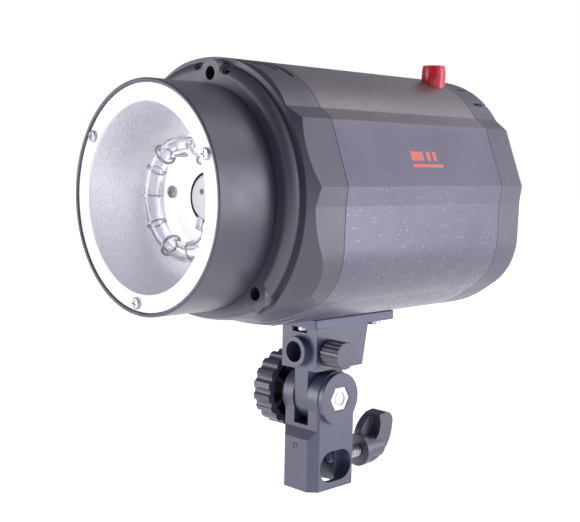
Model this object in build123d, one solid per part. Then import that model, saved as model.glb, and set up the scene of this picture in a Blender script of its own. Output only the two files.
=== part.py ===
"""A monolight strobe: lamp head, tilt bracket and stand socket, as separate pieces.

The frame is in millimetres. The origin is the middle of the stand socket's mouth,
the lamp points along -Y, and +Z is up.
"""

from build123d import *
import math
import os

# ---------------------------------------------------------------- driving dimensions
HOOD_Z = 129.2  # the axis of the lamp, hood and casing curves

SEAM_FRONT = -47.1  # front housing meets the main shell
SEAM_REAR = 51.5  # main shell meets the rear cover
SEAM_GAP = 0.2
HOUSING_FRONT = -71.0
REAR_FACE = 70.5
WALL = 2.2
SHELL_WALL = 1.8
CROWN_TOP = 54.5  # hood axis up to the top of the casing
TOP_ARC_R = 70.0
SHOULDER_X = 22.0  # where the top arc runs into the tighter shoulder
SHOULDER_R = 39.8
SHELF_IN = (42.7, 35.1)
BELLY = 51.4  # hood axis down to the bottom of the casing
BELLY_RISE = 43.1  # centre of the front drum's flattened bottom
SEAT_HALF = 9.5  # half width of the flat seat under the shell
DRUM_R = 52.6
CASING_FRONT = -66.0
FRONT_ROUND = 4.0
REAR_ROUND = 4.5

HOOD_R = 44.55
HOOD_WALL = 1.5
HOOD_STEP = 0.6  # the part inside the housing is this much smaller
HOOD_FRONT = -97.7
HOOD_REAR = -61.6
RING_FACE = -96.9  # white ring in the hood's mouth
RING_OUTER_R = 42.9
DISH_MOUTH_R = 36.2
DISH_FLOOR_R = 27.2
BASE_FACE = -66.0
TUBE_PLANE = -77.0
TUBE_RING_R = 20.9
TUBE_R = 3.5
TUBE_BORE_R = 2.4
TUBE_GAP_DEG = 26.0  # half of the gap at the top of the ring
TUBE_BEND_R = 4.0  # from the ring into each leg
HOLDER_R = 8.6
HOLDER_HOLE_R = 9.7
PIN_SPACING = 6.35

TILT_Y = 0.3
TILT_Z = 40.8
EAR_R = 11.9
BRACKET_HALF = 10.7
TONGUE_HALF = 4.0
SLOT_HALF = 4.25
BOLT_R = 3.0
BOLT_HOLE_R = 3.05
DISC_FACE = 13.2  # the round boss round the bolt's head
LEFT_DISC_FACE = 12.3

BLOCK_FRONT = -13.3
BLOCK_REAR = 12.0
NECK_FRONT = -10.5
BLOCK_TOP = 23.0
SHOULDER_TOP = 27.3
SOCKET_R = 8.2
SOCKET_DEPTH = 25.0
LOCK_Z = 10.1
LOCK_SCREW_R = 3.0
WING_HUB_Y = 27.0

WEB_FRONT = -12.6
WEB_BOTTOM = 53.8
WEB_TOP = 72.6
PLATE_TOP = 76.5
UMBRELLA_Z = 61.8
UMBRELLA_BORE_R = 4.6
UMBRELLA_TUBE_R = 6.7
UMBRELLA_FRONT = -16.0
UMBRELLA_LOCK_Y = -5.5
UMBRELLA_SCREW_R = 2.5

PANEL_FACE = 68.2  # outer face of the control panel
PANEL_THICK = 1.6
ROCKER_PIVOT_Y = 67.2
ROCKER_PIN_R = 1.0
ROCKER_TILT = 10.0

# places of the rear controls: x, and height over the hood axis
DIAL_AT = (0.0, 16.0)
TEST_AT = (24.0, 24.0)
LED_AT = (24.0, 9.0)
SYNC_AT = (-24.0, 24.0)
MODEL_SWITCH_AT = (-24.0, 4.0)
POWER_SWITCH_AT = (28.0, -15.0)
INLET_AT = (-2.0, -21.0)
FUSE_AT = (-31.3, -17.0)
PANEL_SCREWS = [(-34, 30.5), (34, 30.5), (-34, -29.5), (34, -29.5)]
SENSOR_AT = (23.0, 46.0)  # x, y on the crown
SENSOR_HOLE_R = 4.0
PLATE_SCREWS = [(0, -9), (-7, 28), (7, 28)]


# ---------------------------------------------------------------- small helpers
def box(x0, x1, y0, y1, z0, z1):
    """A box between two corners."""
    return Pos((x0 + x1) / 2, (y0 + y1) / 2, (z0 + z1) / 2) * Box(x1 - x0, y1 - y0, z1 - z0)


def rod_x(radius, x0, x1, y, z):
    """A cylinder along X."""
    return Pos((x0 + x1) / 2, y, z) * Rot(0, 90, 0) * Cylinder(radius, x1 - x0)


def rod_y(radius, y0, y1, x=0.0, z=HOOD_Z):
    """A cylinder along Y, on the hood axis unless told otherwise."""
    return Pos(x, (y0 + y1) / 2, z) * Rot(90, 0, 0) * Cylinder(radius, y1 - y0)


def rod_z(radius, z0, z1, x, y):
    """A cylinder along Z."""
    return Pos(x, y, (z0 + z1) / 2) * Cylinder(radius, z1 - z0)


def slab_y(face, y0, y1, x=0.0, z=HOOD_Z):
    """A flat face drawn in x and height, made into a solid between two places on Y."""
    plane = Plane(origin=(x, y1, z), x_dir=(1, 0, 0), z_dir=(0, -1, 0))
    return extrude(plane * face, amount=y1 - y0)


def slab_x(face, x0, x1, y, z):
    """A flat face drawn in y and height, made into a solid between two places on X."""
    plane = Plane(origin=(x0, y, z), x_dir=(0, 1, 0), z_dir=(1, 0, 0))
    return extrude(plane * face, amount=x1 - x0)


def spin_y(points, z=HOOD_Z):
    """A solid of revolution about the hood axis from (radius, y) corners."""
    corners = [(radius, y) for radius, y in points]
    face = make_face(Polyline(*corners, close=True))
    return Pos(0, 0, z) * revolve(face, axis=Axis.Y)


def polar(radius, degrees):
    """x and height at an angle about the hood axis."""
    angle = math.radians(degrees)
    return radius * math.cos(angle), radius * math.sin(angle)


def scalloped(radius, count, notch_r, notch_at):
    """A round face with a ring of notches in its rim."""
    face = Circle(radius)
    for n in range(count):
        x, y = polar(notch_at, 360 * n / count)
        face -= Pos(x, y) * Circle(notch_r)
    return face


def join(pieces):
    """One compound of several separate solids."""
    return Compound(children=[solid for piece in pieces for solid in piece.solids()])


def write(name, shape):
    """Write one node's STEP file."""
    export_step(shape, f"parts/{name}.step")


# ---------------------------------------------------------------- casing
def shoulder_centre():
    """Centre of the shoulder arc, which is tangent to the top arc."""
    top_centre = CROWN_TOP - TOP_ARC_R
    ratio = 1 - SHOULDER_R / TOP_ARC_R
    return SHOULDER_X * ratio, top_centre + math.sqrt(TOP_ARC_R**2 - SHOULDER_X**2) * ratio


def crown_height(x):
    """Height of the casing's top over the hood axis, at x."""
    if abs(x) <= SHOULDER_X:
        return CROWN_TOP - TOP_ARC_R + math.sqrt(TOP_ARC_R**2 - x**2)
    centre_x, centre_up = shoulder_centre()
    return centre_up + math.sqrt(SHOULDER_R**2 - (abs(x) - centre_x) ** 2)


def casing_face(inset=0.0):
    """The casing's cross-section about the hood axis, or one a wall thinner."""
    shoulder = (SHOULDER_X, crown_height(SHOULDER_X))
    right = [
        ThreePointArc((0, CROWN_TOP), (11, crown_height(11)), shoulder),
        ThreePointArc(shoulder, (34, crown_height(34)), SHELF_IN),
        Line(SHELF_IN, (48.3, 30.9)),
        Line((48.3, 30.9), (57.8, 6.0)),
        Line((57.8, 6.0), (56.8, -1.3)),
        Line((56.8, -1.3), (56.5, -16.5)),
        ThreePointArc((56.5, -16.5), (53.0, -29.9), (43.2, -39.8)),
        ThreePointArc((43.2, -39.8), (30.5, -47.2), (16.0, -50.7)),
        ThreePointArc((16.0, -50.7), (8.0, -51.2), (0, -BELLY)),
    ]
    half = make_face(Curve() + right + [Line((0, -BELLY), (0, CROWN_TOP))])
    face = half + mirror(half, about=Plane.YZ)
    if inset:
        face = offset(face, amount=-inset)
    return face


def ramp_cone(inset=0.0):
    """The cone that lets the side panels rise out of the round front."""
    return spin_y(
        [
            (0, CASING_FRONT - 0.5),
            (54.6 - inset, CASING_FRONT - 0.5),
            (63.0 - inset, -53.5),
            (63.0 - inset, -40),
            (0, -40),
        ]
    )


def belly_cone(inset=0.0):
    """The wide round that flattens the drum's bottom and runs down to the shell's."""
    return spin_y(
        [
            (0, HOUSING_FRONT - 1 + inset),
            (88.0 - inset, HOUSING_FRONT - 0.2 + inset),
            (90.2 - inset, HOUSING_FRONT + 1.6 + inset),
            (91.2 - inset, HOUSING_FRONT + 4.5),
            (92.2 - inset, -57),
            (93.4 - inset, -49.5),
            (94.6 - inset, -47),
            (94.6 - inset, -40),
            (0, -40),
        ],
        HOOD_Z + BELLY_RISE,
    )


def front_screw_spots():
    """Where the three casing screws sit on the front face."""
    return [polar(48.2, degrees) for degrees in (82, -45, -135)]


def front_housing():
    end = SEAM_FRONT - SEAM_GAP
    drum = rod_y(DRUM_R, HOUSING_FRONT, end)
    drum = fillet(drum.edges().group_by(Axis.Y)[0], FRONT_ROUND)
    outer = drum + (slab_y(casing_face(), CASING_FRONT, end) & ramp_cone())
    for x, up in front_screw_spots():
        outer += rod_y(5.6, HOUSING_FRONT, -60, x, HOOD_Z + up)
    outer = outer & belly_cone()
    inner = rod_y(DRUM_R - WALL, HOUSING_FRONT + WALL, -60)
    inner += slab_y(casing_face(WALL), CASING_FRONT + WALL, end + 1) & ramp_cone(WALL)
    inner = inner & slab_y(casing_face(WALL), -80, end + 1) & belly_cone(WALL)
    for x, up in front_screw_spots():
        inner -= rod_y(4.6, HOUSING_FRONT, -58, x, HOOD_Z + up)
    outer -= inner
    outer -= rod_y(HOOD_R - HOOD_STEP + 0.15, HOUSING_FRONT - 2, -55)
    for x, up in front_screw_spots():
        outer -= rod_y(2.6, HOUSING_FRONT - 2, -64, x, HOOD_Z + up)
        outer -= rod_y(1.7, -66, -50, x, HOOD_Z + up)
    band = rod_y(CROWN_TOP + 7, -80, -40) - rod_y(CROWN_TOP - 2.6, -80, -40)
    for n in range(4):
        place = -50.3 - 4.6 * n
        half = 30.7 - 4.4 * n
        outer -= band & box(-half, half, place - 0.8, place + 0.8, HOOD_Z, HOOD_Z + 70)
    for side in (-1, 1):
        x, up = polar(DRUM_R - 1.5, 82 + 9.5 * side)
        outer -= Pos(x, HOUSING_FRONT + 1.4, HOOD_Z + up) * Sphere(2.3)
    return outer


def main_shell():
    seat = make_face(
        Polyline((-46.6, HOOD_Z - 49), (-38, PLATE_TOP), (49, PLATE_TOP), (51, HOOD_Z - 49), close=True)
    )
    shell = slab_y(casing_face(), SEAM_FRONT, SEAM_REAR)
    shell += extrude(Plane.YZ.offset(-SEAT_HALF) * seat, amount=2 * SEAT_HALF)
    shell -= slab_y(casing_face(SHELL_WALL), SEAM_FRONT - 1, SEAM_REAR + 1)
    shell -= rod_z(SENSOR_HOLE_R, HOOD_Z, HOOD_Z + 70, *SENSOR_AT)
    for x, y in PLATE_SCREWS:
        shell -= rod_z(2.1, HOOD_Z - 60, HOOD_Z - 45, x, y)
    return shell


def panel_outline(inset=0.0):
    """The control panel's rounded rectangle."""
    face = Pos(0, 0.5) * RectangleRounded(84 - 2 * inset, 74 - 2 * inset, 12 - inset)
    return face


def rear_cover():
    start = SEAM_REAR + SEAM_GAP
    outer = slab_y(casing_face(), start, REAR_FACE)
    outer = fillet(outer.edges().group_by(Axis.Y)[-1], REAR_ROUND)
    outer -= slab_y(casing_face(WALL), start - 1, REAR_FACE - WALL)
    outer -= slab_y(panel_outline(2.5), 60, REAR_FACE + 1)
    for offset_deg in (4.9, 17.1, 29.3, 41.5):
        for side in (-1, 1):
            slot = box(-1.0, 1.0, 57.4, REAR_FACE + 1, 51.2, 60)
            outer -= Pos(0, 0, HOOD_Z) * Rot(0, side * offset_deg, 0) * slot
    for x in (-47, 47):
        for up in (-14, 14):
            outer -= rod_y(1.8, REAR_FACE - 5, REAR_FACE + 1, x, HOOD_Z + up)
    return outer


def rear_screws():
    screws = []
    for x in (-47, 47):
        for up in (-14, 14):
            head = rod_y(2.9, REAR_FACE, REAR_FACE + 1.6, x, HOOD_Z + up)
            head += rod_y(1.5, REAR_FACE - 9, REAR_FACE, x, HOOD_Z + up)
            head -= box(x - 1.7, x + 1.7, REAR_FACE + 0.8, REAR_FACE + 2, HOOD_Z + up - 0.35, HOOD_Z + up + 0.35)
            head -= box(x - 0.35, x + 0.35, REAR_FACE + 0.8, REAR_FACE + 2, HOOD_Z + up - 1.7, HOOD_Z + up + 1.7)
            screws.append(head)
    return join(screws)


def front_screws():
    screws = []
    for x, up in front_screw_spots():
        z = HOOD_Z + up
        screw = rod_y(2.4, -66.5, -64.05, x, z) + rod_y(1.5, -64.05, -52, x, z)
        screw -= box(x - 1.5, x + 1.5, -67, -65.7, z - 0.35, z + 0.35)
        screw -= box(x - 0.35, x + 0.35, -67, -65.7, z - 1.5, z + 1.5)
        screws.append(screw)
    return join(screws)


# ---------------------------------------------------------------- hood and reflector
def hood_tube():
    tube = rod_y(HOOD_R, HOOD_FRONT, HOUSING_FRONT - 0.3)
    tube += rod_y(HOOD_R - HOOD_STEP, HOUSING_FRONT - 0.3, HOOD_REAR)
    tube -= rod_y(HOOD_R - HOOD_WALL, HOOD_FRONT - 1, HOOD_REAR + 1)
    return fillet(tube.edges().group_by(Axis.Y)[0], 0.5)


def ring_screw_spots():
    return [polar(40.0, degrees) for degrees in (25, 145, 265)]


def reflector_ring():
    ring = rod_y(RING_OUTER_R, RING_FACE, RING_FACE + 1.2) - rod_y(DISH_MOUTH_R, RING_FACE - 1, RING_FACE + 3)
    for x, up in ring_screw_spots():
        ring -= rod_y(1.35, RING_FACE - 1, RING_FACE + 3, x, HOOD_Z + up)
    return ring


def reflector_dish():
    front = RING_FACE + 1.2
    wall = 0.9
    cone = spin_y(
        [
            (DISH_MOUTH_R, front),
            (DISH_MOUTH_R + 5.6, front),
            (DISH_MOUTH_R + 5.6, front + wall),
            (DISH_MOUTH_R + wall, front + wall),
            (DISH_FLOOR_R + wall, BASE_FACE - 0.1),
            (DISH_FLOOR_R, BASE_FACE - 0.1),
        ]
    )
    for x, up in ring_screw_spots():
        cone -= rod_y(1.35, front - 1, front + 3, x, HOOD_Z + up)
    return cone


def ring_screws():
    screws = []
    for x, up in ring_screw_spots():
        z = HOOD_Z + up
        screw = rod_y(2.3, RING_FACE - 1.3, RING_FACE, x, z) + rod_y(1.3, RING_FACE, RING_FACE + 6, x, z)
        screw = fillet(screw.edges().group_by(Axis.Y)[0], 0.6)
        screw -= box(x - 1.4, x + 1.4, RING_FACE - 2, RING_FACE - 0.8, z - 0.3, z + 0.3)
        screw -= box(x - 0.3, x + 0.3, RING_FACE - 2, RING_FACE - 0.8, z - 1.4, z + 1.4)
        screws.append(screw)
    return join(screws)


def base_screw_spots():
    return [(-21.4, 1.4), (21.4, -1.4)]


def leg_spots():
    """Where the flash tube's two legs go through the base."""
    spots = []
    for side in (1, -1):
        x, up = polar(TUBE_RING_R, 90 + side * TUBE_GAP_DEG)
        along_x, along_up = polar(TUBE_BEND_R, side * TUBE_GAP_DEG)
        spots.append((x + side * along_x, up + side * along_up))
    return spots


def lamp_base():
    base = rod_y(DISH_FLOOR_R + 2.0, BASE_FACE, BASE_FACE + 2.5)
    base -= rod_y(HOLDER_HOLE_R, BASE_FACE - 1, BASE_FACE + 4)
    for x, up in leg_spots():
        base -= rod_y(TUBE_R + 0.5, BASE_FACE - 1, BASE_FACE + 4, x, HOOD_Z + up)
    for x, up in base_screw_spots():
        base -= rod_y(1.55, BASE_FACE - 1, BASE_FACE + 4, x, HOOD_Z + up)
    return base


def base_screws():
    screws = []
    for x, up in base_screw_spots():
        z = HOOD_Z + up
        screw = rod_y(2.6, BASE_FACE - 1.5, BASE_FACE, x, z) + rod_y(1.5, BASE_FACE, BASE_FACE + 7, x, z)
        screw = fillet(screw.edges().group_by(Axis.Y)[0], 0.7)
        screw -= box(x - 1.6, x + 1.6, BASE_FACE - 2, BASE_FACE - 0.9, z - 0.35, z + 0.35)
        screw -= box(x - 0.35, x + 0.35, BASE_FACE - 2, BASE_FACE - 0.9, z - 1.6, z + 1.6)
        screws.append(screw)
    return join(screws)


def bulkhead():
    """The plate across the casing that carries the lamp base."""
    plate = rod_y(43.6, -61.2, -59.2)
    for x, up in front_screw_spots():
        plate -= rod_y(5.9, -64, -56, x, HOOD_Z + up)
    plate -= rod_y(HOLDER_R + 0.3, -64, -56)
    for x, up in leg_spots():
        plate -= rod_y(TUBE_R + 0.5, -64, -56, x, HOOD_Z + up)
    for x, up in base_screw_spots():
        plate += rod_y(3.2, BASE_FACE + 2.5, -61.2, x, HOOD_Z + up)
        plate -= rod_y(1.55, -64, -56, x, HOOD_Z + up)
    for degrees in (20, 160, 200, 340):
        x, up = polar(34, degrees)
        plate -= rod_y(4.0, -64, -56, x, HOOD_Z + up)
    return plate


def tube_sweep(radius, leg_end):
    """The flash tube's ring, its two bends and its two legs, as one round rod."""
    left, right = [(x, HOOD_Z + up) for x, up in leg_spots()]
    ends = []
    for side in (1, -1):
        x, up = polar(TUBE_RING_R, 90 + side * TUBE_GAP_DEG)
        ends.append((x, TUBE_PLANE, HOOD_Z + up))
    bend_y = TUBE_PLANE + TUBE_BEND_R
    bottom = (0, TUBE_PLANE, HOOD_Z - TUBE_RING_R)
    path = Wire(
        [
            Edge.make_line((left[0], leg_end, left[1]), (left[0], bend_y, left[1])),
            Edge.make_tangent_arc((left[0], bend_y, left[1]), (0, -1, 0), ends[0]),
            Edge.make_three_point_arc(ends[0], bottom, ends[1]),
            Edge.make_tangent_arc((right[0], bend_y, right[1]), (0, -1, 0), ends[1]),
            Edge.make_line((right[0], bend_y, right[1]), (right[0], leg_end, right[1])),
        ]
    )
    section = Plane(origin=path @ 0, z_dir=path % 0) * Circle(radius)
    return sweep(section, path=path)


def flash_tube():
    return tube_sweep(TUBE_R, -57.0) - tube_sweep(TUBE_BORE_R, -58.2)


def tube_electrodes():
    return join([rod_y(1.7, -71.5, -60.5, x, HOOD_Z + up) for x, up in leg_spots()])


def clip_angles():
    return (246, 128, 52)


def tube_clips():
    """Spring clips on posts that hold the glass ring to the base."""
    clips = []
    for degrees in clip_angles():
        x, up = polar(TUBE_RING_R, degrees)
        loop = Torus(TUBE_R + 0.75, 0.55)
        loop = Pos(x, TUBE_PLANE, HOOD_Z + up) * Rot(0, -degrees, 0) * loop
        post = rod_y(0.9, TUBE_PLANE + TUBE_R + 0.6, BASE_FACE, x, HOOD_Z + up)
        clips.append(loop + post)
    return join(clips)


def wire_loop_angles():
    return (150, 180, 212, 285, 320, 0, 30)


def trigger_wire():
    """The fine igniter wire: one run round the ring, looped on the glass."""
    run_r, loop_inner, loop_outer, loop_width = 0.22, TUBE_R + 0.05, TUBE_R + 0.6, 0.5
    end_gap = TUBE_GAP_DEG + 15
    face = Pos(TUBE_RING_R + TUBE_R + 0.32, 0) * Circle(run_r)
    wire = revolve(Plane.XY * face, axis=Axis.Y, revolution_arc=360 - 2 * end_gap)
    wire = Pos(0, TUBE_PLANE, HOOD_Z) * Rot(0, end_gap - 90, 0) * wire
    for degrees in wire_loop_angles():
        x, up = polar(TUBE_RING_R, degrees)
        loop = Cylinder(loop_outer, loop_width) - Cylinder(loop_inner, 2 * loop_width)
        wire += Pos(x, TUBE_PLANE, HOOD_Z + up) * Rot(0, -degrees, 0) * loop
    for degrees in clip_angles()[:1]:
        x, up = polar(TUBE_RING_R, degrees)
        wire -= Pos(x, TUBE_PLANE, HOOD_Z + up) * Rot(0, -degrees, 0) * Cylinder(TUBE_R + 2, 3.2)
    return wire


def holder_pin_spots():
    return [polar(PIN_SPACING / 2, degrees) for degrees in (135, -45)]


def lampholder():
    """Ceramic two-pin socket for the modelling lamp."""
    body = rod_y(HOLDER_R, BASE_FACE - 1.0, -52)
    body = fillet(body.edges().group_by(Axis.Y)[0], 0.8)
    for x, up in holder_pin_spots():
        body -= rod_y(1.2, BASE_FACE - 3, -54, x, HOOD_Z + up)
    return body


def holder_contacts():
    sleeves = []
    for x, up in holder_pin_spots():
        z = HOOD_Z + up
        sleeves.append(rod_y(1.15, BASE_FACE + 0.6, -54.2, x, z) - rod_y(0.65, BASE_FACE - 1, -56, x, z))
    return join(sleeves)


def holder_clips():
    """Two bent tabs that keep the socket in its hole."""
    clips = []
    for degrees in (70, 250):
        x, up = polar(HOLDER_HOLE_R + 1.6, degrees)
        tab = Pos(x, BASE_FACE - 0.4, HOOD_Z + up) * Rot(0, -degrees, 0) * Box(5.0, 0.7, 3.4)
        clips.append(tab - rod_y(HOLDER_R + 0.3, -70, -60))
    return join(clips)


# ---------------------------------------------------------------- inside the casing
def main_capacitor():
    can = rod_y(23.0, -34, 30, 0, HOOD_Z + 20)
    can = fillet(can.edges().group_by(Axis.Y)[-1], 1.5)
    for x in (-6, 6):
        can += rod_y(3.0, -38, -34, x, HOOD_Z + 20)
    return can


def capacitor_strap():
    strap = rod_y(24.4, -6, 8, 0, HOOD_Z + 20) - rod_y(23.1, -7, 9, 0, HOOD_Z + 20)
    strap += box(-1.5, 1.5, -6, 8, HOOD_Z - 9.7, HOOD_Z - 4)
    strap -= rod_y(23.1, -7, 9, 0, HOOD_Z + 20)
    return strap


BOARD_Z = HOOD_Z - 30


def main_board():
    board = box(-42, 42, -40, 40, BOARD_Z, BOARD_Z + 1.6)
    for x in (-37, 37):
        for y in (-35, 35):
            board -= rod_z(1.8, BOARD_Z - 1, BOARD_Z + 3, x, y)
    return board


def board_standoffs():
    posts = []
    for x in (-37, 37):
        for y in (-35, 35):
            post = rod_z(2.8, BOARD_Z - 9.0, BOARD_Z, x, y) + rod_z(1.7, BOARD_Z, BOARD_Z + 3.5, x, y)
            posts.append(post)
    return join(posts)


def board_parts():
    """Rectifier, relay, resistors and small capacitors standing on the board."""
    top = BOARD_Z + 1.6
    parts = [
        box(-34, -18, -28, -12, top, top + 15),
        box(16, 34, 8, 24, top, top + 12),
        box(-6, 10, 18, 32, top, top + 9),
        box(-34, -22, 6, 30, top, top + 10),
        rod_z(5.0, top, top + 16, 26, -8),
        rod_z(5.0, top, top + 16, 10, -24),
        rod_z(4.0, top, top + 12, -10, -2),
    ]
    return join(parts)


def trigger_coil():
    top = BOARD_Z + 1.6
    core = rod_z(7.5, top, top + 3, 28, -28) + rod_z(6.0, top + 3, top + 15, 28, -28)
    return core + rod_z(7.5, top + 15, top + 17, 28, -28)


def tube_leads():
    """Insulated leads from the tube's legs back over the board."""
    leads = []
    for x, up in leg_spots():
        turn = x * 4.0
        path = FilletPolyline(
            (x, -56.8, HOOD_Z + up),
            (x, -50, HOOD_Z + up),
            (turn, -43.5, HOOD_Z),
            (turn, -38, BOARD_Z + 3.0),
            radius=2.5,
        )
        section = Plane(origin=path @ 0, z_dir=path % 0) * Circle(1.1)
        leads.append(sweep(section, path=path))
    return join(leads)


# ---------------------------------------------------------------- slave sensor
def sensor_window():
    """Red barrel-shaped cap over the light sensor, closed at its top."""
    x, y = SENSOR_AT
    seat = HOOD_Z + crown_height(x + 4.2) - 1.6
    top = HOOD_Z + crown_height(x) + 7.9
    neck_r = SENSOR_HOLE_R - 0.1
    bore_r = neck_r - 0.9
    face = make_face(
        Curve()
        + [
            Line((0, top), (4.9, top)),
            ThreePointArc((4.9, top), (5.35, (top + seat) / 2 + 1), (4.6, seat)),
            Line((4.6, seat), (bore_r, seat)),
            Line((bore_r, seat), (bore_r, top - 1.2)),
            Line((bore_r, top - 1.2), (0, top - 1.2)),
            Line((0, top - 1.2), (0, top)),
        ]
    )
    cap = Pos(x, y, 0) * revolve(Plane.XZ * face, axis=Axis.Z)
    cap -= slab_y(casing_face(), SEAM_FRONT, SEAM_REAR)
    return cap + (rod_z(neck_r, seat - 6, seat + 3, x, y) - rod_z(bore_r, seat - 7, seat + 4, x, y))


def sensor_diode():
    x, y = SENSOR_AT
    seat = HOOD_Z + crown_height(x + 4.2)
    return rod_z(2.3, seat - 6, seat + 3, x, y) + Pos(x, y, seat + 3) * Sphere(2.3)


# ---------------------------------------------------------------- rear controls
def switch_size():
    return 19.0, 13.0


def rear_panel():
    plate = slab_y(panel_outline(-1.0), PANEL_FACE - PANEL_THICK, PANEL_FACE)
    holes = [
        (DIAL_AT, Circle(3.7)),
        (TEST_AT, Circle(5.0)),
        (LED_AT, Circle(2.6)),
        (SYNC_AT, Circle(4.6)),
        (FUSE_AT, Circle(6.2)),
        (MODEL_SWITCH_AT, Rectangle(13.2, 19.2)),
        (POWER_SWITCH_AT, Rectangle(13.2, 19.2)),
        (INLET_AT, Rectangle(27.4, 20.0)),
    ]
    for (x, up), face in holes:
        plate -= slab_y(face, 60, 72, x, HOOD_Z + up)
    for side in (-1, 1):
        plate -= rod_y(1.6, 60, 72, INLET_AT[0] + side * 17.5, HOOD_Z + INLET_AT[1])
    for x, up in PANEL_SCREWS:
        plate -= rod_y(1.6, 60, 72, x, HOOD_Z + up)
    return plate


def power_dial():
    """Flute-sided knob with a pointer groove."""
    x, up = DIAL_AT
    z = HOOD_Z + up
    start = PANEL_FACE + 0.6
    knob = slab_y(scalloped(11.0, 20, 0.9, 11.4), start, start + 11, x, z)
    knob += rod_y(12.2, start, start + 1.8, x, z)
    knob = knob - rod_y(3.03, start - 1, start + 8, x, z)
    knob -= box(x - 0.6, x + 0.6, start + 10.2, start + 12, z + 3, z + 11.5)
    return knob


def dial_shaft():
    """The potentiometer behind the dial, with its bush, nut and shaft."""
    x, up = DIAL_AT
    z = HOOD_Z + up
    can = rod_y(8.0, 54, PANEL_FACE - PANEL_THICK, x, z) + rod_y(3.6, 60, PANEL_FACE + 0.4, x, z)
    return can + rod_y(3.0, 60, PANEL_FACE + 8.2, x, z)


def test_button():
    x, up = TEST_AT
    z = HOOD_Z + up
    cap = rod_y(3.6, PANEL_FACE - 6, PANEL_FACE + 3.4, x, z)
    cap = fillet(cap.edges().group_by(Axis.Y)[-1], 0.8)
    return cap


def test_bezel():
    """Threaded body and ring of the test button."""
    x, up = TEST_AT
    z = HOOD_Z + up
    ring = rod_y(6.4, PANEL_FACE, PANEL_FACE + 1.8, x, z) + rod_y(4.9, PANEL_FACE - 14, PANEL_FACE, x, z)
    ring -= rod_y(3.75, PANEL_FACE - 8.5, PANEL_FACE + 3, x, z)
    return ring


def ready_led():
    x, up = LED_AT
    z = HOOD_Z + up
    lens = rod_y(2.5, PANEL_FACE - 5, PANEL_FACE + 1.6, x, z) + rod_y(3.1, PANEL_FACE - 6.2, PANEL_FACE - 1.7, x, z)
    return lens + Pos(x, PANEL_FACE + 1.6, z) * Sphere(2.5)


SYNC_BORE_R = 3.25
SYNC_DEPTH = 16.0


def sync_jack():
    """6.35 mm jack socket with its round nut."""
    x, up = SYNC_AT
    z = HOOD_Z + up
    front = PANEL_FACE + 2.4
    body = rod_y(4.5, PANEL_FACE - 16, front, x, z) + rod_y(6.2, PANEL_FACE, PANEL_FACE + 1.8, x, z)
    body += box(x - 7, x + 7, PANEL_FACE - 18, PANEL_FACE - 3.6, z - 7, z + 7)
    return body - rod_y(SYNC_BORE_R, front - SYNC_DEPTH, front + 1, x, z)


def switch_frame(spot):
    """The frame of a rocker switch, open at the back of the panel."""
    x, up = spot
    z = HOOD_Z + up
    long, wide = switch_size()
    frame = box(x - wide / 2 - 1.2, x + wide / 2 + 1.2, PANEL_FACE, PANEL_FACE + 1.6, z - long / 2 - 1.2, z + long / 2 + 1.2)
    frame += box(x - wide / 2, x + wide / 2, PANEL_FACE - 14, PANEL_FACE, z - long / 2, z + long / 2)
    cavity = box(x - 4.6, x + 4.6, PANEL_FACE - 9, PANEL_FACE + 3, z - 7.6, z + 7.6)
    return frame - cavity - rod_x(ROCKER_PIN_R + 0.05, x - 5.7, x + 5.7, ROCKER_PIVOT_Y, z)


def rocker(spot):
    """A rocker resting with its top half out, pivoting on a line along X."""
    x, up = spot
    z = HOOD_Z + up
    face = make_face(Polyline((-3.6, -3.2), (3.6, -3.2), (6.9, 2.6), (0, 3.7), (-6.9, 2.6), close=True))
    body = extrude(Plane.YZ.offset(-4.25) * (Rot(0, 0, -90) * face), amount=8.5)
    body = Pos(x, ROCKER_PIVOT_Y, z) * Rot(-ROCKER_TILT, 0, 0) * body
    return body + rod_x(ROCKER_PIN_R, x - 5.6, x + 5.6, ROCKER_PIVOT_Y, z)


def mains_inlet():
    """Three-pin appliance inlet with a flange."""
    x, up = INLET_AT
    z = HOOD_Z + up
    body = box(x - 13.6, x + 13.6, PANEL_FACE - 20, PANEL_FACE, z - 9.9, z + 9.9)
    flange = slab_y(RectangleRounded(43.0, 22.6, 5.0), PANEL_FACE, PANEL_FACE + 2.2, x, z)
    well = make_face(
        Polyline((-12.2, -8.2), (12.2, -8.2), (12.2, 4.2), (8.2, 8.2), (-8.2, 8.2), (-12.2, 4.2), close=True)
    )
    inlet = body + flange - slab_y(well, PANEL_FACE - 15, PANEL_FACE + 3, x, z)
    for side in (-1, 1):
        inlet -= rod_y(1.6, PANEL_FACE - 1, PANEL_FACE + 3, x + side * 17.5, z)
    for px, pup in inlet_pin_spots():
        inlet -= box(x + px - 1.0, x + px + 1.0, PANEL_FACE - 22, PANEL_FACE - 14, z + pup - 2.0, z + pup + 2.0)
    return inlet


def inlet_pin_spots():
    return [(-7.0, -2.0), (7.0, -2.0), (0.0, 2.0)]


def inlet_pins():
    x, up = INLET_AT
    z = HOOD_Z + up
    pins = []
    for px, pup in inlet_pin_spots():
        pins.append(
            box(x + px - 1.0, x + px + 1.0, PANEL_FACE - 26, PANEL_FACE - 2.5, z + pup - 2.0, z + pup + 2.0)
        )
    return join(pins)


def panel_screws():
    spots = PANEL_SCREWS + [(INLET_AT[0] - 17.5, INLET_AT[1]), (INLET_AT[0] + 17.5, INLET_AT[1])]
    screws = []
    for n, (x, up) in enumerate(spots):
        z = HOOD_Z + up
        seat = PANEL_FACE + (2.2 if n > 3 else 0)
        screw = rod_y(2.6, seat, seat + 1.4, x, z) + rod_y(1.5, seat - 7, seat, x, z)
        screw -= box(x - 1.6, x + 1.6, seat + 0.7, seat + 2, z - 0.3, z + 0.3)
        screw -= box(x - 0.3, x + 0.3, seat + 0.7, seat + 2, z - 1.6, z + 1.6)
        screws.append(screw)
    return join(screws)


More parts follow.
